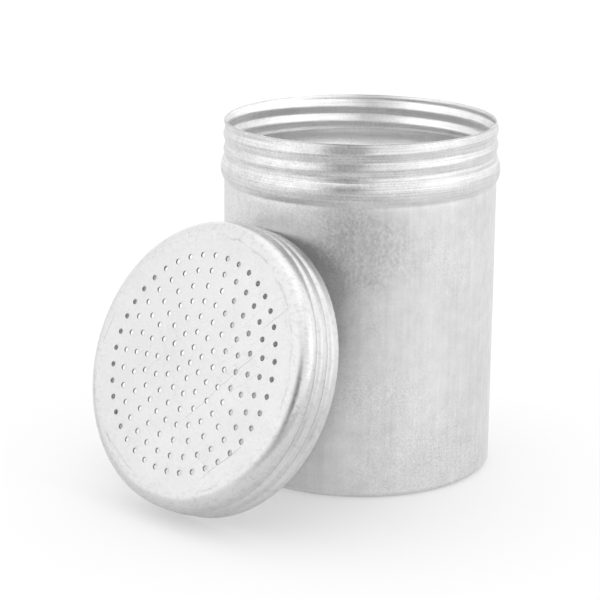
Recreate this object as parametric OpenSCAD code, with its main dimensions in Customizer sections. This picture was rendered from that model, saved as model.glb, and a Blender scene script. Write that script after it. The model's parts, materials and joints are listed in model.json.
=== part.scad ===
// Perforated dredge tin: a seamless drawn aluminium can with a rolled screw neck,
// and its one-piece pierced shaker lid, off the can and leaning against it.
//
// Millimetres, +Z up. The origin is the centre of the can's base.
// The lid leans on the can from -Y, its pierced face turned outwards and a little up.

/* [Can] */
// Outside diameter of the straight wall
can_d = 70; // [60:1:80]
// Height from the base to the rim
can_h = 90; // [75:1:110]
// Thickness of the can's sheet
can_sheet = 0.5; // [0.4:0.05:0.6]
// Outer radius of the corner between wall and base
corner_r = 1.5; // [1:0.1:4]

/* [Shoulder bead] */
// Depth of the bead's crest below the rim
bead_drop = 12.4; // [12.2:0.1:14]
// How far the bead stands out from the wall
bead_proud = 0.85; // [0.5:0.05:1.2]
// Height of the bead where it meets the wall
bead_width = 6; // [5:0.1:6.2]

/* [Screw thread] */
// Rise of the thread in one turn
pitch = 4; // [3.5:0.1:4.5]
// Depth of the neck's rolled thread
neck_thread = 0.45; // [0.3:0.05:0.5]
// Depth of the lid's rolled thread
lid_thread = 0.75; // [0.5:0.05:0.9]
// Radial gap between the lid's ridge and the bottom of the neck's groove
thread_gap = 0.25; // [0.15:0.05:0.35]

/* [Lid] */
// Depth from the lid's rim to the edge of its domed face
lid_depth = 11.8; // [11.5:0.1:14]
// Thickness of the lid's sheet
lid_sheet = 0.45; // [0.4:0.05:0.6]
// Outer radius of the shoulder between face and wall
shoulder_r = 3.4; // [2.5:0.1:3.6]
// Rise of the face from its edge to its centre
dome_rise = 0.55; // [0.3:0.05:1]

/* [Holes] */
// Diameter of each sprinkle hole
hole_d = 1.3; // [0.8:0.1:1.6]
// Distance from one ring of holes to the next
ring_step = 3.81; // [3.2:0.01:3.85]
// Direction of the first hole of every ring, anticlockwise from the lid's right
first_hole = 94; // [0:1:359]

/* [Lean] */
// Tilt of the leaning lid from upright
lean = 22.4; // [15:0.2:35]
// Gap between the leaning lid and the can
touch_gap = 0.1; // [0.05:0.05:0.3]

/* [Hidden] */
$fn = 0;
$fa = 2;
$fs = 0.4;

wall_r = can_d / 2;
bead_z = can_h - bead_drop;
// The bead is an arc this big in section, centred inside the wall.
bead_arc_r = (pow(bead_width / 2, 2) + pow(bead_proud, 2)) / (2 * bead_proud);
bead_arc_at = wall_r + bead_proud - bead_arc_r;
collar_z = bead_z + bead_width / 2 + 0.5;

// Neck: its groove lies just inside the wall's line, its crest just outside.
neck_root_r = wall_r - 0.3;
neck_crest_r = neck_root_r + neck_thread;
neck_crest_z = can_h - 6.2;
neck_fade = 1.2;

// Lid, modelled with its rim on z = 0 and its face up.
lid_groove_r = neck_root_r + thread_gap + lid_sheet;
lid_r = lid_groove_r + lid_thread;
lid_wall_r = neck_crest_r + 0.1 + lid_sheet;
lid_collar_z = lid_depth - shoulder_r - 0.45;
lid_groove_z = 3.1;
lid_fade = 1.4;
shoulder_at = lid_wall_r - shoulder_r;
// The dome is part of a sphere that meets the shoulder's arc without a corner.
dome_r = (pow(lid_wall_r - shoulder_r, 2) + pow(dome_rise, 2)) / (2 * dome_rise);
dome_at = lid_depth - shoulder_r - sqrt(pow(dome_r - shoulder_r, 2) - pow(shoulder_at, 2));
face_edge_r = shoulder_at * dome_r / (dome_r - shoulder_r);

holes_per_ring = [6, 12, 16, 24, 24, 32, 40];

// Rings that carry a thread are skins of straight facets: this many round, this far apart in height.
facets = 72;
row_step = 0.5;
tongue = 0.5;
tongue_inset = 0.12;

// ---------- shared shapes ----------

// Eases from 0 to 1 as t goes from 0 to 1.
function ease(t) = let (u = min(max(t, 0), 1)) u * u * (3 - 2 * u);

// 1 on a right-hand thread's line, -1 midway between turns. The line is at height z0 on the +X side.
function helix_wave(z, a, z0) = cos(360 * (z - z0) / pitch - a);

// Heights from z0 to z1 in equal rows.
function rows(z0, z1) = let (n = ceil((z1 - z0) / row_step)) [for (i = [0:n]) z0 + (z1 - z0) * i / n];

// A closed ring from its outlines: outlines[i] holds the [r, z] points at the i-th facet edge,
// up the outside and down the inside.
module skin_ring(outlines) {
    n = len(outlines);
    m = len(outlines[0]);
    points = [for (i = [0:n - 1]) let (a = 360 * i / n) for (p = outlines[i])
        [p[0] * cos(a), p[0] * sin(a), p[1]]];
    faces = [for (i = [0:n - 1], j = [0:m - 1])
        let (k = (i + 1) % n, l = (j + 1) % m)
        each [[i * m + j, i * m + l, k * m + l], [i * m + j, k * m + l, k * m + j]]];
    polyhedron(points, faces, convexity = 8);
}

// ---------- canister ----------

// Outer radius of the neck at height z and angle a.
function neck_r(z, a) =
    let (mid = (neck_root_r + neck_crest_r) / 2,
         full = ease((z - collar_z) / neck_fade) * (1 - 0.6 * ease((z - can_h + neck_fade) / neck_fade)))
    mid + full * neck_thread / 2 * helix_wave(z, a, neck_crest_z);

// Half section of the can below its neck, inset by the sheet for the inside.
module can_outline(inset) {
    r = corner_r - inset;
    translate([0, inset]) square([wall_r - corner_r, collar_z]);
    translate([0, corner_r]) square([wall_r - inset, collar_z - corner_r + inset]);
    translate([wall_r - corner_r, corner_r]) circle(r);
    intersection() {
        translate([bead_arc_at, bead_z]) circle(bead_arc_r - inset);
        translate([0, bead_z - bead_width]) square([2 * wall_r, 2 * bead_width]);
    }
}

module can_shell() {
    rotate_extrude() intersection() {
        difference() {
            can_outline(0);
            can_outline(can_sheet);
        }
        square([2 * wall_r, collar_z]);
    }
}

// The threaded neck, with a tongue that sits inside the wall's thickness.
module neck() {
    out_r = wall_r - tongue_inset;
    in_r = wall_r - can_sheet + tongue_inset;
    levels = rows(collar_z + 0.2, can_h);
    last = len(levels) - 1;
    skin_ring([for (i = [0:facets - 1]) let (a = 360 * i / facets) [
        [out_r, collar_z - tongue], [out_r, collar_z],
        for (z = levels) [neck_r(z, a), z],
        for (j = [last:-1:0]) [neck_r(levels[j], a) - can_sheet, levels[j]],
        [in_r, collar_z], [in_r, collar_z - tongue],
    ]]);
}

module canister() color([0.80, 0.81, 0.82]) {
    can_shell();
    neck();
}

// ---------- shaker lid ----------

// Outer radius of the lid's skirt at height z and angle a: a plain band at the rim, grooves above it.
function skirt_r(z, a) =
    let (plain = lid_wall_r + (lid_r - lid_wall_r) * ease((lid_collar_z - z) / lid_fade),
         full = ease((z - 0.6) / lid_fade) * ease((lid_collar_z + 0.4 - z) / lid_fade))
    plain - full * (plain - lid_groove_r) * (1 + helix_wave(z, a, lid_groove_z)) / 2;

// Half section of the lid above its skirt, inset by the sheet for the inside.
module lid_outline(inset) {
    intersection() {
        translate([0, dome_at]) circle(dome_r - inset, $fa = 0.1);
        translate([0, lid_collar_z]) square([face_edge_r, lid_depth]);
    }
    translate([0, lid_collar_z]) square([lid_wall_r - inset, lid_depth - shoulder_r - lid_collar_z]);
    translate([shoulder_at, lid_depth - shoulder_r]) circle(shoulder_r - inset);
}

module lid_crown() {
    rotate_extrude() intersection() {
        difference() {
            lid_outline(0);
            lid_outline(lid_sheet);
        }
        translate([0, lid_collar_z]) square([2 * lid_wall_r, lid_depth]);
    }
}

module skirt() {
    out_r = lid_wall_r - tongue_inset;
    in_r = lid_wall_r - lid_sheet + tongue_inset;
    levels = rows(0, lid_collar_z - 0.2);
    last = len(levels) - 1;
    skin_ring([for (i = [0:facets - 1]) let (a = 360 * i / facets) [
        for (z = levels) [skirt_r(z, a), z],
        [out_r, lid_collar_z], [out_r, lid_collar_z + tongue / 2],
        [in_r, lid_collar_z + tongue / 2], [in_r, lid_collar_z],
        for (j = [last:-1:0]) [skirt_r(levels[j], a) - lid_sheet, levels[j]],
    ]]);
}

module sprinkle_holes() {
    cut = 3 * (lid_sheet + dome_rise);
    translate([0, 0, lid_depth - cut / 2]) {
        cylinder(d = hole_d, h = cut);
        for (ring = [1:len(holes_per_ring)])
            let (count = holes_per_ring[ring - 1])
            for (i = [0:count - 1])
                rotate(first_hole - 360 * i / count)
                translate([ring * ring_step, 0, 0])
                cylinder(d = hole_d, h = cut);
    }
}

// Stands the lid on the edge of its rim and leans it on the can.
module leaning() {
    translate([0, -(wall_r + touch_gap + lid_r * sin(lean)), lid_r * cos(lean)])
    rotate([90 - lean, 0, 0])
    children();
}

module shaker_lid() color([0.86, 0.87, 0.88]) leaning() {
    difference() {
        lid_crown();
        sprinkle_holes();
    }
    skirt();
}

canister();
shaker_lid();
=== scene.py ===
"""A pierced aluminium dredge tin, its screw lid off and leaning against the can.

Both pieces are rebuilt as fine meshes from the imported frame's sizes: the can as one drawn sheet with
a rolled thread, the lid as one drawn sheet with a rolled skirt and punched holes.
"""
import json
import math

import bpy
import numpy as np
from mathutils import Matrix, Vector
from mathutils.geometry import delaunay_2d_cdt


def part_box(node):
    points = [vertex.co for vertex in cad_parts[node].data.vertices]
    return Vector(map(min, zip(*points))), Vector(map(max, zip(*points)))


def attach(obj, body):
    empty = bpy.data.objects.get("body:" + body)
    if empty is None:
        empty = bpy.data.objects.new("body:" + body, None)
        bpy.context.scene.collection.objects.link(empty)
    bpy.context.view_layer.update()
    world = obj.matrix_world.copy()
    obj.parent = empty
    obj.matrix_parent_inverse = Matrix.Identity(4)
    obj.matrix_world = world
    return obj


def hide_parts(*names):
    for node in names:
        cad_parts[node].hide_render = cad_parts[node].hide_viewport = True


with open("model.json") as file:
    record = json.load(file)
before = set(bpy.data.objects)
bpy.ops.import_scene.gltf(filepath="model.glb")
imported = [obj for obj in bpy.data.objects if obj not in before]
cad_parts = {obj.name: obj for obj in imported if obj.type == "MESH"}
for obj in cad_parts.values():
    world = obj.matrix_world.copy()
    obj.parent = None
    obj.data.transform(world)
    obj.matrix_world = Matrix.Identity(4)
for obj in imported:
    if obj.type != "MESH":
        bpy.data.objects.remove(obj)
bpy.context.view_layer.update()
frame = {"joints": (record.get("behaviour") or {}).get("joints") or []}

MM = 0.001

# Can, in metres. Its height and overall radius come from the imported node. A shallow crease runs under the
# bead, and the sheet wanders up to WARP inside its true radius.
can_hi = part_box("canister")[1]
CAN_H = can_hi.z
CAN_SHEET = 0.5 * MM
CORNER_R = 1.5 * MM
BEAD_PROUD = 0.85 * MM
BEAD_HALF = 3.0 * MM
BEAD_Z = CAN_H - 12.4 * MM
BEAD_ARC = (BEAD_HALF ** 2 + BEAD_PROUD ** 2) / (2 * BEAD_PROUD)
WALL_R = can_hi.x - BEAD_PROUD
CREASE_DEPTH = 0.12 * MM
CREASE_HALF = 0.9 * MM
WARP = 0.10 * MM

# Screw thread: right-hand, one start. The neck's runs off level by THREAD_SWAY, highest at THREAD_HIGH,
# and THREAD_BITE nearer 1 makes its crests and valleys tighter.
PITCH = 4.0 * MM
NECK_ROOT_R = WALL_R - 0.3 * MM
NECK_CREST_R = NECK_ROOT_R + 0.45 * MM
NECK_CREST_Z = CAN_H - 6.38 * MM
THREAD_SWAY = 0.37 * MM
THREAD_HIGH = math.radians(-48)
THREAD_BITE = 0.98
NECK_FOOT_Z = BEAD_Z + BEAD_HALF
NECK_START = 0.1 * MM
NECK_FADE = 1.6 * MM
LIP_PLAIN = 0.8 * MM
LIP_HALF = 0.12 * MM

# Lid, modelled with its rim on z = 0 and its face up, then leaned on the can. It is 0.01 mm shallower
# than the CAD's, so that its edge stays inside the CAD's box.
lid_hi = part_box("shaker_lid")[1]
LID_R = lid_hi.x
LID_DEPTH = 11.79 * MM
LID_SHEET = 0.45 * MM
LID_WALL_R = NECK_CREST_R + 0.1 * MM + LID_SHEET
LID_GROOVE_R = LID_R - 0.75 * MM
LID_GROOVE_Z = 3.1 * MM
RIM_BAND = 0.6 * MM
SKIRT_FADE = 1.4 * MM
SHOULDER_R = 3.4 * MM
SHOULDER_Z = LID_DEPTH - SHOULDER_R
SKIRT_TOP = SHOULDER_Z - 0.45 * MM
GROOVE_TOP = SKIRT_TOP + 0.4 * MM

# The face is part of a ball that meets the shoulder's arc without a corner, at SHOULDER_END degrees.
DOME_RISE = 0.55 * MM
DOME_R = LID_WALL_R - SHOULDER_R
BALL_R = (DOME_R ** 2 + DOME_RISE ** 2) / (2 * DOME_RISE)
SHOULDER_END = 90 - math.degrees(math.asin(DOME_R / (BALL_R - SHOULDER_R)))

# The leaning lid: its axis is the joint's, its rim stands on the floor and its top leans on the can.
# LID_MIDDLE is the middle of its rim.
LID_AXIS = Vector(frame["joints"][0]["axis"])
LEAN = math.asin(LID_AXIS.z)
LID_MIDDLE = (0, lid_hi.y - LID_R * math.sin(LEAN), LID_R * math.cos(LEAN))

# Sprinkle holes: one in the middle and seven rings round it.
HOLE_R = 0.65 * MM
RING_STEP = 3.81 * MM
FIRST_HOLE = math.radians(94)
HOLES_PER_RING = (6, 12, 16, 24, 24, 32, 40)

# How the holes are punched from outside, as (extra radius, depth below the face) in millimetres:
# the lip rolls in, and a small burr stands inside.
HOLE_LIP = ((0.09, 0.02), (0.03, 0.06), (0.0, 0.13))
HOLE_BURR = ((0.0, 0.53), (0.05, 0.57), (0.14, 0.50))

# Mesh fineness. The corner's arc stops CORNER_STOP degrees from level, where the wall's rows take over.
AROUND = 288
HOLE_SIDES = 20
WALL_STEP = 1.5 * MM
NECK_STEP = 0.25 * MM
SKIRT_STEP = 0.2 * MM
BASE_RINGS = np.array([0.25, 0.6, 0.85, 0.97])
CORNER_STOP = -8
CORNER_STEPS = 8

# The net of triangles over the lid's face: its step and its rows' spacing as a share of that, how far it
# keeps from the edge and from the rings of points round the holes, and how far those lie from the holes.
NET_STEP = 1.1 * MM
NET_ROW = 0.866
NET_EDGE_GAP = 0.6 * MM
NET_HOLE_GAP = 0.35 * MM
HOLE_MARGIN = 0.3 * MM

ANGLES = np.arange(AROUND) * 2 * math.pi / AROUND
HOLE_ANGLES = np.arange(HOLE_SIDES) * 2 * math.pi / HOLE_SIDES


# ---------- shapes ----------

def ease(t):
    """0 to 1 as t goes from 0 to 1, with no corner at either end."""
    t = np.clip(t, 0.0, 1.0)
    return t * t * (3 - 2 * t)


def helix(z, a, z0):
    """1 on a right-hand thread's line, -1 midway between turns; the line is at height z0 where a is 0."""
    return np.cos(2 * math.pi * (z - z0) / PITCH - a)


def drift(z, a, seed, amount):
    """Slow unevenness of hand-worn sheet metal, from -amount to 0, so that it never grows the part."""
    wave = (np.sin(2 * a + seed + 30 * z) + 0.7 * np.sin(3 * a - 1.7 * seed + 75 * z)
            + 0.5 * np.sin(5 * a + 2.3 * seed - 110 * z) + 0.35 * np.sin(9 * a + 0.6 * seed + 160 * z)) / 2.55
    return amount * (wave - 1) / 2


def neck_wave(z, a):
    """The neck's thread from -1 to 1: straight flanks, tight crests and valleys, and a plain lip."""
    sway = THREAD_SWAY * np.cos(a - THREAD_HIGH)
    w = helix(np.minimum(z, CAN_H - LIP_PLAIN), a, NECK_CREST_Z + sway)
    return np.arcsin(THREAD_BITE * w) / math.asin(THREAD_BITE)


def can_r(z, a):
    """Outer radius of the can at height z and angle a."""
    dz = np.clip(np.abs(z - BEAD_Z), 0, BEAD_HALF)
    bead = np.sqrt(BEAD_ARC ** 2 - dz ** 2) - (BEAD_ARC - BEAD_PROUD)
    crease = CREASE_DEPTH * np.exp(-((z - BEAD_Z + BEAD_HALF) / CREASE_HALF) ** 2)
    mid = (NECK_ROOT_R + NECK_CREST_R) / 2
    on_neck = ease((z - NECK_FOOT_Z - NECK_START) / NECK_FADE)
    thread = (NECK_CREST_R - NECK_ROOT_R) / 2 * neck_wave(z, a)
    base = WALL_R + (mid - WALL_R) * on_neck
    return base + bead - crease + on_neck * thread + drift(z, a, 1.3, WARP)


def skirt_r(z, a):
    """Outer radius of the lid below its shoulder at height z and angle a."""
    plain = LID_WALL_R + (LID_R - LID_WALL_R) * ease((SKIRT_TOP - z) / SKIRT_FADE)
    full = ease((z - RIM_BAND) / SKIRT_FADE) * ease((GROOVE_TOP - z) / SKIRT_FADE)
    groove = ((1 + helix(z, a, LID_GROOVE_Z)) / 2) ** 3
    return plain - full * (plain - LID_GROOVE_R) * groove


def arc_points(r, z, radius, start, end, steps):
    """Points on an arc in the r-z plane, angles in degrees from outwards towards up."""
    t = np.radians(np.linspace(start, end, steps))
    return list(zip(r + radius * np.cos(t), z + radius * np.sin(t)))


def spun(rows):
    """(rows, AROUND, 3) points from rows of (radius, height), each a number or an array round the axis."""
    one = np.ones(AROUND)
    x, y = np.cos(ANGLES), np.sin(ANGLES)
    return np.array([np.stack([r * x * one, r * y * one, z * one], 1) for r, z in rows])


def band_faces(rows):
    """Quads between successive rings of AROUND points, facing away from the axis as the rows rise."""
    i, j = np.meshgrid(np.arange(rows - 1), np.arange(AROUND), indexing="ij")
    k = (j + 1) % AROUND
    quad = np.stack([i * AROUND + j, i * AROUND + k, (i + 1) * AROUND + k, (i + 1) * AROUND + j], -1)
    return quad.reshape(-1, 4).tolist()


def make_object(name, points, faces, material, body, node):
    """A smooth-shaded mesh in the row frame that stands for a CAD node and rides on its body."""
    mesh = bpy.data.meshes.new(name)
    mesh.from_pydata([tuple(p) for p in points], [], faces)
    mesh.validate()
    mesh.shade_smooth()
    mesh.materials.append(material)
    obj = bpy.data.objects.new(name, mesh)
    bpy.context.scene.collection.objects.link(obj)
    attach(obj, body)
    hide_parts(node)


def can_rows():
    """The can's rows from the middle of its base up the outside, over the lip and back down inside."""
    lip_z = CAN_H - LIP_HALF
    fine_from = BEAD_Z - BEAD_HALF - 1 * MM
    wall = np.concatenate([np.arange(CORNER_R, fine_from, WALL_STEP),
                           np.arange(fine_from, lip_z, NECK_STEP), [lip_z]])
    worn = (CAN_SHEET / 2 - LIP_HALF) * np.clip(1 - (lip_z - wall) / LIP_PLAIN, 0, 1)
    centre = WALL_R - CORNER_R
    edge = can_r(lip_z, ANGLES) - CAN_SHEET / 2
    inner_r = CORNER_R - CAN_SHEET
    rows = [(r, 0.0) for r in BASE_RINGS * centre]
    rows += arc_points(centre, CORNER_R, CORNER_R, -90, CORNER_STOP, CORNER_STEPS)
    rows += [(can_r(z, ANGLES) - thin, z) for z, thin in zip(wall, worn)]
    rows += [(edge + LIP_HALF * math.cos(t), lip_z + LIP_HALF * math.sin(t))
             for t in np.radians((30, 60, 90, 120, 150))]
    rows += [(can_r(z, ANGLES) - CAN_SHEET + thin, z) for z, thin in zip(wall[::-1], worn[::-1])]
    rows += arc_points(centre, CORNER_R, inner_r, CORNER_STOP, -90, CORNER_STEPS)
    rows += [(r, CAN_SHEET) for r in BASE_RINGS[::-1] * centre]
    return rows


def build_can(material):
    """The whole can as one closed skin: base, wall, bead and neck outside, then the same inside."""
    rows = can_rows()
    points = np.concatenate([spun(rows).reshape(-1, 3), [[0, 0, 0], [0, 0, CAN_SHEET]]])
    faces = band_faces(len(rows))
    under, inside, last = len(points) - 2, len(points) - 1, (len(rows) - 1) * AROUND
    for j in range(AROUND):
        k = (j + 1) % AROUND
        faces += [(under, k, j), (inside, last + j, last + k)]
    make_object("canister_sheet", points, faces, material, "can", "canister")


def dome_z(r, inset):
    """Height of the lid's face, or of its inside with the sheet as inset, at radius r."""
    return LID_DEPTH + DOME_RISE - BALL_R + np.sqrt((BALL_R - inset) ** 2 - r ** 2)


def hole_centres():
    """The middle of every hole in the lid's x-y plane, ring by ring from the centre."""
    spots = [(0.0, 0.0)]
    for ring, count in enumerate(HOLES_PER_RING, 1):
        for i in range(count):
            t = FIRST_HOLE - 2 * math.pi * i / count
            spots.append((ring * RING_STEP * math.cos(t), ring * RING_STEP * math.sin(t)))
    return np.array(spots)


def net_points(edge_r, centres):
    """2-D points over the lid's face: AROUND on its edge, HOLE_SIDES round each hole, then an even spread."""
    rim = HOLE_R + HOLE_MARGIN
    flat = [(edge_r * math.cos(t), edge_r * math.sin(t)) for t in ANGLES]
    for x, y in centres:
        flat += [(x + rim * math.cos(t), y + rim * math.sin(t)) for t in HOLE_ANGLES]
    for row, y in enumerate(np.arange(-edge_r, edge_r, NET_STEP * NET_ROW)):
        for x in np.arange(-edge_r, edge_r, NET_STEP) + (row % 2) * NET_STEP / 2:
            clear = np.hypot(centres[:, 0] - x, centres[:, 1] - y).min()
            if math.hypot(x, y) < edge_r - NET_EDGE_GAP and clear > rim + NET_HOLE_GAP:
                flat.append((x, y))
    return flat


def face_net(edge_r, centres):
    """The net's 2-D points and its triangles, without those that lie inside a hole's ring of points."""
    flat = net_points(edge_r, centres)
    got = delaunay_2d_cdt([Vector(p) for p in flat], [], [], 0, 1e-9)
    back = [o[0] for o in got[3]]
    owner = [-1] * AROUND + [i for i in range(len(centres)) for _ in range(HOLE_SIDES)]
    owner += [-1] * (len(flat) - len(owner))
    tris = []
    for f in got[2]:
        t = [back[i] for i in f]
        if owner[t[0]] < 0 or len({owner[i] for i in t}) > 1:
            tris.append(t)
    return np.array(flat), tris


def lid_rows():
    """The lid's rows from its rim to the edge of its face, up the outside and up the inside."""
    half = LID_SHEET / 2
    collar = SHOULDER_Z - 0.3 * MM
    levels = np.concatenate([np.arange(half, collar, SKIRT_STEP), [collar]])
    mid = skirt_r(half, ANGLES) - half

    def rim(*degrees):
        """Rows round the rim's rolled edge."""
        return [(mid + half * math.cos(t), half + half * math.sin(t)) for t in np.radians(degrees)]

    outer = rim(-90, -60, -30) + [(skirt_r(z, ANGLES), z) for z in levels]
    outer += arc_points(DOME_R, SHOULDER_Z, SHOULDER_R, 0, SHOULDER_END, 14)
    inner = rim(-120, -150) + [(skirt_r(z, ANGLES) - LID_SHEET, z) for z in levels]
    inner += arc_points(DOME_R, SHOULDER_Z, SHOULDER_R - LID_SHEET, 0, SHOULDER_END, 12)
    return outer, inner


def add_face(points, faces, net, inset, edge_first, flip):
    """One side of the face, joined to the shoulder's last ring at edge_first. Returns its first new point."""
    flat, tris = net
    first = len(points)
    r = np.hypot(flat[AROUND:, 0], flat[AROUND:, 1])
    points.extend(np.column_stack([flat[AROUND:], dome_z(r, inset)]))
    index = [edge_first + i for i in range(AROUND)] + [first + i for i in range(len(flat) - AROUND)]
    for t in tris:
        f = [index[i] for i in t]
        faces.append(f[::-1] if flip else f)
    return first


def add_hole(points, faces, centre, out_first, in_first):
    """One hole's wall, from its ring of points on the outside of the face to its ring on the inside."""
    x, y = centre
    top = dome_z(math.hypot(x, y), 0.0)
    loops = [[out_first + i for i in range(HOLE_SIDES)]]
    for grow, drop in HOLE_LIP + HOLE_BURR:
        loops.append(list(range(len(points), len(points) + HOLE_SIDES)))
        r = HOLE_R + grow * MM
        points.extend(np.column_stack([x + r * np.cos(HOLE_ANGLES), y + r * np.sin(HOLE_ANGLES),
                                       np.full(HOLE_SIDES, top - drop * MM)]))
    loops.append([in_first + i for i in range(HOLE_SIDES)])
    for upper, lower in zip(loops, loops[1:]):
        for i in range(HOLE_SIDES):
            j = (i + 1) % HOLE_SIDES
            faces.append((upper[i], upper[j], lower[j], lower[i]))


def build_lid(material):
    """The lid as one closed skin: rim, skirt, shoulder and face, outside and inside, and its holes."""
    outer, inner = lid_rows()
    rows = len(outer) + len(inner)
    points = list(spun(inner[::-1] + outer).reshape(-1, 3))
    faces = band_faces(rows)

    edge_r = DOME_R + SHOULDER_R * math.cos(math.radians(SHOULDER_END))
    centres = hole_centres()
    net = face_net(edge_r, centres)
    out_first = add_face(points, faces, net, 0.0, (rows - 1) * AROUND, False)
    in_first = add_face(points, faces, net, LID_SHEET, 0, True)
    for n, centre in enumerate(centres):
        add_hole(points, faces, centre, out_first + n * HOLE_SIDES, in_first + n * HOLE_SIDES)

    place = np.array(Matrix.Translation(LID_MIDDLE) @ Matrix.Rotation(math.pi / 2 - LEAN, 4, "X"))
    points = np.array(points) @ place[:3, :3].T + place[:3, 3]
    make_object("shaker_lid_sheet", points, faces, material, "lid", "shaker_lid")


# ---------- materials ----------

class Finish:
    """One metallic material and short ways to add nodes to it.

    A value may be a number, a tuple of three or another node's output.
    """

    def __init__(self, name):
        self.mat = bpy.data.materials.new(name)
        self.mat.use_nodes = True
        self.nodes, self.links = self.mat.node_tree.nodes, self.mat.node_tree.links
        self.bsdf = self.nodes["Principled BSDF"]
        self.bsdf.inputs["Metallic"].default_value = 1.0

    def put(self, socket, value):
        """Gives a socket its value, as a link if the value is an output."""
        if isinstance(value, bpy.types.NodeSocket):
            self.links.new(value, socket)
        else:
            socket.default_value = value

    def math(self, operation, a, b=0.0):
        """One Math node."""
        node = self.nodes.new("ShaderNodeMath")
        node.operation = operation
        self.put(node.inputs[0], a)
        self.put(node.inputs[1], b)
        return node.outputs[0]

    def times(self, a, b):
        """a multiplied by b."""
        return self.math("MULTIPLY", a, b)

    def vector(self, operation, a, b):
        """One Vector Math node that gives a vector."""
        node = self.nodes.new("ShaderNodeVectorMath")
        node.operation = operation
        self.put(node.inputs[0], a)
        self.put(node.inputs[1], b)
        return node.outputs[0]

    def length(self, a):
        """The length of vector a."""
        node = self.nodes.new("ShaderNodeVectorMath")
        node.operation = "LENGTH"
        self.put(node.inputs[0], a)
        return node.outputs["Value"]

    def position(self):
        """The point being shaded, in the object's own frame."""
        return self.nodes.new("ShaderNodeTexCoord").outputs["Object"]

    def turned(self, at, axis, angle):
        """at turned by angle about one axis through the origin."""
        node = self.nodes.new("ShaderNodeVectorRotate")
        node.rotation_type = axis
        self.put(node.inputs["Vector"], at)
        node.inputs["Angle"].default_value = angle
        return node.outputs[0]

    def split(self, at):
        """The x, y and z of at."""
        node = self.nodes.new("ShaderNodeSeparateXYZ")
        self.put(node.inputs[0], at)
        return node.outputs

    def noise(self, at, per_metre, detail=2.0, seed=0.0):
        """Noise from about 0.2 to 0.8; per_metre is how fine it is, one number or one for each axis."""
        fine = (per_metre,) * 3 if isinstance(per_metre, (int, float)) else per_metre
        moved = self.vector("ADD", self.vector("MULTIPLY", at, fine), (seed, 1.7 * seed, -seed))
        node = self.nodes.new("ShaderNodeTexNoise")
        node.inputs["Scale"].default_value = 1.0
        node.inputs["Detail"].default_value = detail
        self.put(node.inputs["Vector"], moved)
        return node.outputs["Fac"]

    def ease(self, value, low, high, to_low=0.0, to_high=1.0):
        """A smooth step from to_low to to_high as value goes from low to high."""
        node = self.nodes.new("ShaderNodeMapRange")
        node.interpolation_type = "SMOOTHSTEP"
        for name, number in (("Value", value), ("From Min", low), ("From Max", high),
                             ("To Min", to_low), ("To Max", to_high)):
            self.put(node.inputs[name], number)
        return node.outputs["Result"]

    def about(self, value, middle, amount):
        """value swung to either side of zero by about amount."""
        return self.times(self.math("SUBTRACT", value, middle), amount)

    def total(self, *values):
        """All the values added up."""
        result = values[0]
        for value in values[1:]:
            result = self.math("ADD", result, value)
        return result

    def inside(self, x, y):
        """1 on a surface that faces the z axis, 0 on one that faces away."""
        nx, ny, _ = self.split(self.nodes.new("ShaderNodeTexCoord").outputs["Normal"])
        outwards = self.math("ADD", self.times(nx, x), self.times(ny, y))
        return self.ease(outwards, -3 * MM, -1 * MM, 1.0, 0.0)

    def hairlines(self, at, angle, seed):
        """Sparse thin scratches in the x-y plane, all running about one way: 1 on a scratch."""
        way = self.turned(at, "Z_AXIS", angle)
        line = self.noise(way, (40, 330, 1), 2.0, seed)
        thin = self.ease(self.math("ABSOLUTE", self.math("SUBTRACT", line, 0.5)), 0.0, 0.006, 1.0, 0.0)
        where = self.ease(self.noise(way, (70, 110, 1), 2.0, seed + 5), 0.54, 0.66)
        return self.times(thin, where)

    def scratch(self, at, start, end, half_width):
        """1 along one straight scratch in the x-y plane, fading towards its ends."""
        (x0, y0), (x1, y1) = start, end
        way = self.turned(self.vector("SUBTRACT", at, ((x0 + x1) / 2, (y0 + y1) / 2, 0)),
                          "Z_AXIS", -math.atan2(y1 - y0, x1 - x0))
        x, y, _ = self.split(way)
        half = math.hypot(x1 - x0, y1 - y0) / 2
        wobble = self.about(self.noise(at, 160, 1.0, x0 * 900), 0.5, 1.2 * MM)
        across = self.ease(self.math("ABSOLUTE", self.math("ADD", y, wobble)), 0.0, half_width, 1.0, 0.0)
        along = self.ease(self.math("ABSOLUTE", x), 0.6 * half, half, 1.0, 0.0)
        return self.times(across, along)

    def finish(self, tone, rough, height, depth):
        """Sets the grey, the roughness and the relief, whose height of 1 stands for depth in metres."""
        grey = self.nodes.new("ShaderNodeCombineColor")
        for socket in grey.inputs:
            self.put(socket, tone)
        self.links.new(grey.outputs[0], self.bsdf.inputs["Base Color"])
        self.put(self.bsdf.inputs["Roughness"], rough)
        bump = self.nodes.new("ShaderNodeBump")
        bump.inputs["Distance"].default_value = depth
        self.put(bump.inputs["Height"], height)
        self.links.new(bump.outputs[0], self.bsdf.inputs["Normal"])
        return self.mat


# Depth of relief, in metres, that a height of 1 stands for on both pieces.
RELIEF = 0.02 * MM

# A painted reflection: a cloudy dark patch high on the side of the can's wall that faces the camera, standing
# for the reflection of something dark beside the camera. Its middle, and how far it reaches.
DARK_REFLECTION_AT = (0.0243, -0.0252, 0.064)
DARK_REFLECTION_FULL = 7 * MM
DARK_REFLECTION_GONE = 19 * MM


def can_painted_reflection(f, at):
    """The painted dark reflection, ragged and dappled: how much it takes off the grey."""
    away = f.length(f.vector("MULTIPLY", f.vector("SUBTRACT", at, DARK_REFLECTION_AT), (1.0, 1.0, 1.5)))
    ragged = f.math("ADD", away, f.about(f.noise(at, 150, 4.0, 11.0), 0.5, 20 * MM))
    patch = f.ease(ragged, DARK_REFLECTION_FULL, DARK_REFLECTION_GONE, 1.0, 0.0)
    dapple = f.ease(f.noise(at, (1300, 1300, 900), 3.0, 17.0), 0.35, 0.62, 0.01, 0.11)
    return f.times(f.times(patch, dapple), -1.0)


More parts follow.
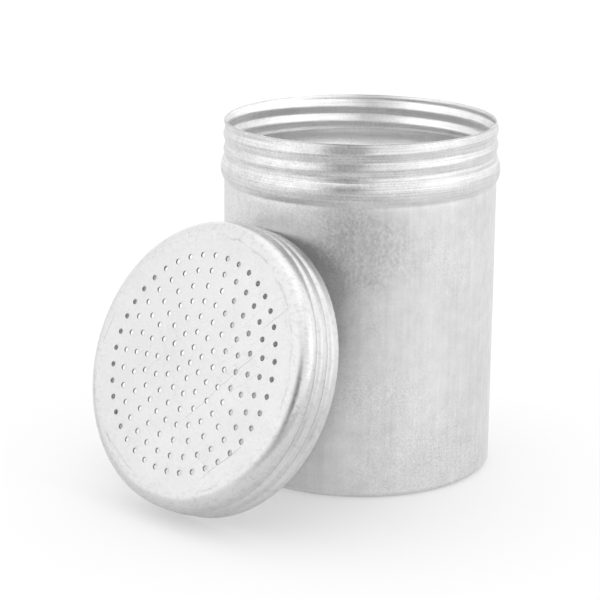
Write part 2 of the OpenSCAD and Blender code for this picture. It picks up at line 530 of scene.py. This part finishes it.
def can_marks(f, at, wall, neck):
    """Clouds, blotches and specks all over, upright streaks on the wall and turned lines on the neck."""
    cloud = f.about(f.noise(at, 55, 3.0, 3.1), 0.5, 0.12)
    blotch = f.about(f.noise(at, 330, 4.0, 8.2), 0.5, 0.16)
    grainy = f.ease(f.noise(at, 45, 2.0, 13.0), 0.35, 0.62, 0.12, 0.42)
    speck = f.times(f.math("SUBTRACT", f.noise(at, 2000, 3.0, 1.4), 0.5), grainy)
    streak = f.times(f.about(f.noise(at, (900, 900, 35), 3.0, 5.5), 0.5, 0.12), wall)
    turned = f.times(f.about(f.noise(at, (45, 45, 4200), 3.0, 2.6), 0.5, 0.55), neck)
    return cloud, blotch, speck, streak, turned


def can_metal():
    """Dull drawn aluminium: drawing marks and a cloudy painted reflection of something dark on the wall,
    turned lines on the neck.
    """
    f = Finish("can_aluminium")
    at = f.position()
    x, y, z = f.split(at)
    neck = f.ease(z, BEAD_Z - BEAD_HALF, BEAD_Z - BEAD_HALF + 1.5 * MM)
    wall = f.math("SUBTRACT", 1.0, neck)
    inside = f.inside(x, y)

    lip = f.ease(z, CAN_H - 0.5 * MM, CAN_H - 0.2 * MM, 0.0, -0.15)
    cleaner = f.times(inside, f.ease(z, CAN_H - 8 * MM, CAN_H - 5 * MM, 0.33, 0.26))
    # The last term of the tone is a painted reflection: a dark patch high on the wall.
    tone = f.total(0.67, lip, cleaner, f.times(neck, -0.04), *can_marks(f, at, wall, neck),
                   can_painted_reflection(f, at))

    rough = f.total(f.ease(z, BEAD_Z - BEAD_HALF, NECK_FOOT_Z, 0.43, 0.33), f.times(inside, 0.08),
                    f.about(f.noise(at, 240, 3.0, 6.6), 0.5, 0.25))
    height = f.total(f.times(f.noise(at, (1000, 1000, 45), 3.0, 5.5), f.times(wall, 0.6)),
                     f.times(f.noise(at, (60, 60, 3000), 2.0, 2.6), neck),
                     f.times(f.noise(at, (900, 900, 1300), 3.0, 4.0), 1.2))
    return f.finish(tone, rough, height, RELIEF)


# The lid's face in its own plane, x and y in metres from its middle: directions of the hairlines in radians,
# each long scratch as its two ends and its half width, and the ring of wear just inside the face's edge.
HAIRLINES = (0.5, 1.1, 2.4)
SCRATCHES = (((0.022, 0.009), (0.001, -0.016), 0.10 * MM),
             ((0.026, 0.019), (0.019, 0.012), 0.12 * MM),
             ((0.012, -0.027), (0.024, -0.014), 0.12 * MM),
             ((-0.024, -0.022), (-0.008, -0.0305), 0.12 * MM),
             ((-0.021, -0.0255), (-0.012, -0.030), 0.10 * MM))
RUB_R = 31.6 * MM
RUB_HALF = 0.40 * MM


def lid_scratches(f, at, face):
    """Hairlines and long scratches: near 1 on a scratch, 0 off the face."""
    lines = f.total(*[f.hairlines(at, angle, 7.0 + angle) for angle in HAIRLINES])
    marks = f.total(*[f.scratch(at, *ends_and_width) for ends_and_width in SCRATCHES])
    return f.times(f.math("ADD", f.times(lines, 0.55), marks), face)


def lid_rub(f, at, out):
    """A broken, wandering ring of wear round the face: 1 on it."""
    off_ring = f.math("ADD", f.math("SUBTRACT", out, RUB_R),
                      f.about(f.noise(at, 230, 3.0, 31.0), 0.5, 2.4 * MM))
    return f.times(f.ease(f.math("ABSOLUTE", off_ring), 0.0, RUB_HALF, 1.0, 0.0),
                   f.ease(f.noise(at, 150, 4.0, 33.0), 0.48, 0.60))


def lid_hole_shade(f, out, z):
    """Painted shade on the holes' walls and on the underside of the face, darkening the holes: 1 where it is
    strongest.
    """
    fall = f.times(f.times(out, out), DOME_RISE / DOME_R ** 2)
    depth = f.math("SUBTRACT", f.math("SUBTRACT", LID_DEPTH + DOME_RISE, fall), z)
    shade_fade = f.ease(depth, 0.40 * MM, 0.60 * MM, 1.0, 0.3)
    within = f.ease(out, DOME_R - 2 * MM, DOME_R, 1.0, 0.0)
    return f.times(f.ease(depth, 0.05 * MM, 0.14 * MM), f.times(shade_fade, within))


def lid_metal():
    """Paler satin aluminium, handled for years: hairlines, a few long scratches, scuffs at the edge."""
    f = Finish("lid_aluminium")
    at = f.turned(f.vector("SUBTRACT", f.position(), LID_MIDDLE), "X_AXIS", LEAN - math.pi / 2)
    x, y, z = f.split(at)
    out = f.math("SQRT", f.math("ADD", f.times(x, x), f.times(y, y)))
    face = f.ease(z, LID_DEPTH - 1.0 * MM, LID_DEPTH - 0.2 * MM)
    edge = f.ease(out, LID_R - 8 * MM, LID_R - 3 * MM)

    worn = lid_scratches(f, at, face)
    scuff = f.times(f.ease(f.noise(at, (700, 900, 700), 5.0, 9.3), 0.50, 0.66), edge)
    cloud = f.about(f.noise(at, 70, 3.0, 2.2), 0.5, 0.08)
    speck = f.about(f.noise(at, 1900, 3.0, 6.1), 0.5, 0.14)
    # Besides the scratches, scuffs and ring of wear, the tone takes off painted shade in the holes and under
    # the face.
    tone = f.total(0.62, cloud, speck, f.times(worn, -0.16), f.times(scuff, -0.06),
                   f.times(lid_rub(f, at, out), -0.11), f.times(lid_hole_shade(f, out, z), -0.24))
    rough = f.total(f.ease(z, LID_DEPTH - 4.5 * MM, LID_DEPTH - 3 * MM, 0.38, 0.27), f.times(face, 0.06),
                    f.about(f.noise(at, 200, 3.0, 4.4), 0.5, 0.2), f.times(worn, -0.1))
    height = f.total(f.times(f.noise(at, 1100, 3.0, 6.1), 0.5),
                     f.times(f.noise(at, (500, 500, 3000), 2.0, 3.0), f.math("SUBTRACT", 1.0, face)),
                     f.times(worn, -1.5), f.times(scuff, -0.6))
    return f.finish(tone, rough, height, RELIEF)


# ---------- studio ----------

# Camera, fitted to the photograph: its swing from -Y towards +X, and lengths in metres, the lens in mm.
CAM_AZIMUTH = math.radians(42.04)
CAM_DISTANCE = 0.5073
CAM_HEIGHT = 0.1850
CAM_PAN = math.radians(-1.722)
CAM_TILT = math.radians(15.783)
CAM_ROLL = math.radians(0.368)
CAM_LENS = 121.03
CAM_SENSOR = 36.0

# The studio is set out facing the camera: x to its right, -y towards it, in metres. The floor and the
# flag are greys that glow a little.
STUDIO_TURN = Matrix.Rotation(CAM_AZIMUTH, 3, "Z")

FLOOR_HALF = 8.0
FLOOR_DROP = 0.2 * MM
FLOOR_WHITE = 0.42
FLOOR_GLOW = 0.42

FLAG_CORNERS = ((-0.20, -0.125), (0.08, -0.125), (0.45, -1.3), (-0.90, -1.3))
FLAG_Z = 4 * MM
FLAG_GLOW = 0.52

# Area lights, which point at LIGHT_AIM: name, place, width and height, and power in watts.
LIGHTS = (("top", (0, 0, 1.3), (1.2, 1.2), 1.0),
          ("right", (1.1, -0.4, 0.5), (0.7, 0.9), 0.7))
LIGHT_AIM = Vector((0, 0, 0.05))

# The surroundings, and patches that multiply their brightness: turn right of the camera and height in
# degrees, the angles from the middle at which the patch is full and has faded out, and by how much. The
# first, much the darkest, stands for something dark beside the camera.
SKY = 1.40
SKY_PATCHES = ((-12, 17, 8, 25, 0.12),
               (26, 33, 8, 27, 0.85),
               (-62, 15, 12, 45, 1.07),
               (-128, 12, 15, 58, 0.90))


def make_camera():
    """A long lens to the front right of the lid, a little above the can."""
    cam = bpy.data.cameras.new("camera")
    cam.lens, cam.sensor_width = CAM_LENS, CAM_SENSOR
    cam.clip_start, cam.clip_end = 0.02, 50.0
    obj = bpy.data.objects.new("camera", cam)
    swing = Matrix.Rotation(CAM_AZIMUTH, 4, "Z")
    obj.matrix_world = (swing @ Matrix.Translation((0, -CAM_DISTANCE, CAM_HEIGHT))
                        @ Matrix.Rotation(-CAM_PAN, 4, "Z")
                        @ Matrix.Rotation(math.pi / 2 - CAM_TILT, 4, "X")
                        @ Matrix.Rotation(CAM_ROLL, 4, "Z"))
    bpy.context.scene.collection.objects.link(obj)
    bpy.context.scene.camera = obj


def make_light(name, place, size, power):
    """A rectangular light at a place in the studio."""
    light = bpy.data.lights.new(name, "AREA")
    light.shape, light.size, light.size_y = "RECTANGLE", size[0], size[1]
    light.energy = power
    obj = bpy.data.objects.new(name, light)
    obj.location = STUDIO_TURN @ Vector(place)
    obj.rotation_euler = (LIGHT_AIM - obj.location).to_track_quat("-Z", "Y").to_euler()
    bpy.context.scene.collection.objects.link(obj)


def glowing_grey(name, base, glow, rough):
    """A grey that also gives off light of its own."""
    mat = bpy.data.materials.new(name)
    mat.use_nodes = True
    shader = mat.node_tree.nodes["Principled BSDF"]
    shader.inputs["Base Color"].default_value = (base, base, base, 1)
    shader.inputs["Roughness"].default_value = rough
    shader.inputs["Emission Color"].default_value = (1, 1, 1, 1)
    shader.inputs["Emission Strength"].default_value = glow
    return mat


def make_sheet(name, points, face, material):
    """A flat sheet that belongs to the studio."""
    mesh = bpy.data.meshes.new(name)
    mesh.from_pydata(points, [], [face])
    mesh.materials.append(material)
    obj = bpy.data.objects.new(name, mesh)
    bpy.context.scene.collection.objects.link(obj)
    return obj


def make_floor():
    """A pale floor, just under the can's base."""
    far, z = FLOOR_HALF, -FLOOR_DROP
    make_sheet("floor", [(-far, -far, z), (far, -far, z), (far, far, z), (-far, far, z)], (0, 1, 2, 3),
               glowing_grey("floor_white", FLOOR_WHITE, FLOOR_GLOW, 0.9))


def make_flag():
    """A grey card low in front, seen only in the metal's reflections, as a studio flag is."""
    flag = make_sheet("flag", [STUDIO_TURN @ Vector((x, y, FLAG_Z)) for x, y in FLAG_CORNERS], (0, 3, 2, 1),
                      glowing_grey("flag_grey", 0.0, FLAG_GLOW, 0.5))
    flag.visible_camera = flag.visible_diffuse = flag.visible_shadow = False


def sky_patch(nodes, links, toward, turn, up, full, faded, value):
    """A soft round patch of the surroundings: value in its middle, 1 outside it."""
    middle = Matrix.Rotation(CAM_AZIMUTH + math.radians(turn), 3, "Z") @ Vector(
        (0, -math.cos(math.radians(up)), math.sin(math.radians(up))))
    near = nodes.new("ShaderNodeVectorMath")
    near.operation = "DOT_PRODUCT"
    near.inputs[1].default_value = middle
    links.new(toward, near.inputs[0])
    ramp = nodes.new("ShaderNodeMapRange")
    ramp.interpolation_type = "SMOOTHSTEP"
    ramp.inputs["From Min"].default_value = math.cos(math.radians(faded))
    ramp.inputs["From Max"].default_value = math.cos(math.radians(full))
    ramp.inputs["To Min"].default_value = 1.0
    ramp.inputs["To Max"].default_value = value
    links.new(near.outputs["Value"], ramp.inputs["Value"])
    return ramp.outputs["Result"]


def make_world():
    """Pale surroundings with a dark patch and a few uneven ones, as between the lights of a small studio."""
    world = bpy.data.worlds.new("world")
    world.use_nodes = True
    nodes, links = world.node_tree.nodes, world.node_tree.links
    toward = nodes.new("ShaderNodeTexCoord").outputs["Generated"]
    background = nodes["Background"]
    background.inputs["Color"].default_value = (1, 1, 1, 1)
    strength = None
    for row in SKY_PATCHES:
        both = nodes.new("ShaderNodeMath")
        both.operation = "MULTIPLY"
        both.inputs[0].default_value = SKY
        if strength is not None:
            links.new(strength, both.inputs[0])
        links.new(sky_patch(nodes, links, toward, *row), both.inputs[1])
        strength = both.outputs[0]
    links.new(strength, background.inputs["Strength"])
    bpy.context.scene.world = world


def make_studio():
    """The floor, the flag, the lights and the surroundings."""
    make_floor()
    make_flag()
    make_world()
    for name, place, size, power in LIGHTS:
        make_light(name, place, size, power)
    bpy.context.scene.view_settings.view_transform = "Standard"


make_camera()
make_studio()
build_can(can_metal())
build_lid(lid_metal())
